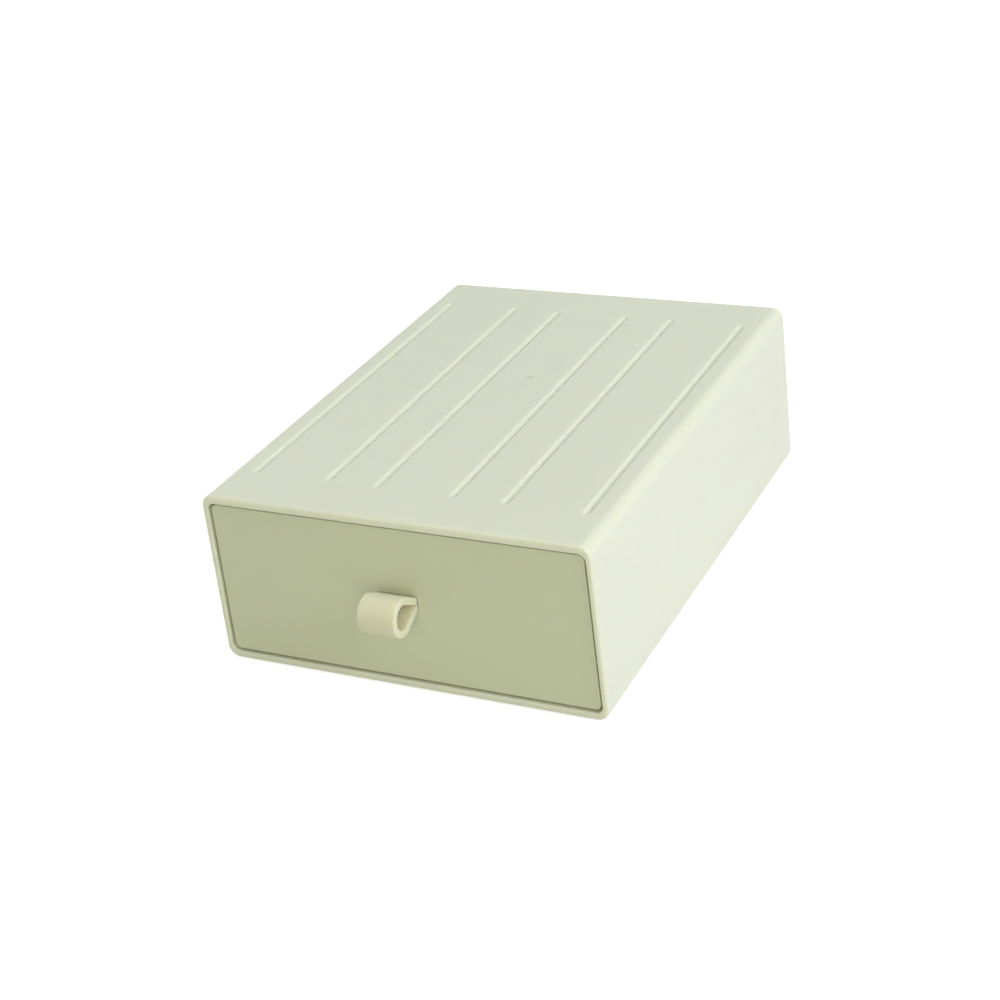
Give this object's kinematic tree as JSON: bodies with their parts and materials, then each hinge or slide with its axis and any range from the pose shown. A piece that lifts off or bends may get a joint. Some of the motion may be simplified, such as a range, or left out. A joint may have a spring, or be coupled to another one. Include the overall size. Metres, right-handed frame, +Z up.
{
  "type": "stackable drawer box",
  "caption": "Low stackable box: a moulded open-front sleeve with grooves in the top, and a sliding drawer with a matt front and a soft pull loop.",
  "frame": {"origin": "middle of the footprint, strap included, on the surface that the box stands on", "axes": "+Y from the drawer's front towards the back, +X to the right seen from the front, +Z up"},
  "size_m": [0.151, 0.216, 0.0677],
  "materials": {
    "shell_plastic": "satin cream polypropylene",
    "tray_plastic": "satin cream polypropylene",
    "panel_plastic": "matt sage front with a fine grain",
    "strap_soft": "soft smooth cream strap",
    "pin_plastic": "smooth"
  },
  "bodies": {
    "housing": {"shell": "shell_plastic"},
    "drawer": {"drawer_tray": "tray_plastic", "front_panel": "panel_plastic", "pull_strap": "strap_soft", "strap_pin": "pin_plastic"}
  },
  "joints": [
    {"name": "drawer_slide", "type": "slide", "parent": "housing", "child": "drawer", "axis": [0, -1, 0], "range_m": [0, 0.15]}
  ]
}
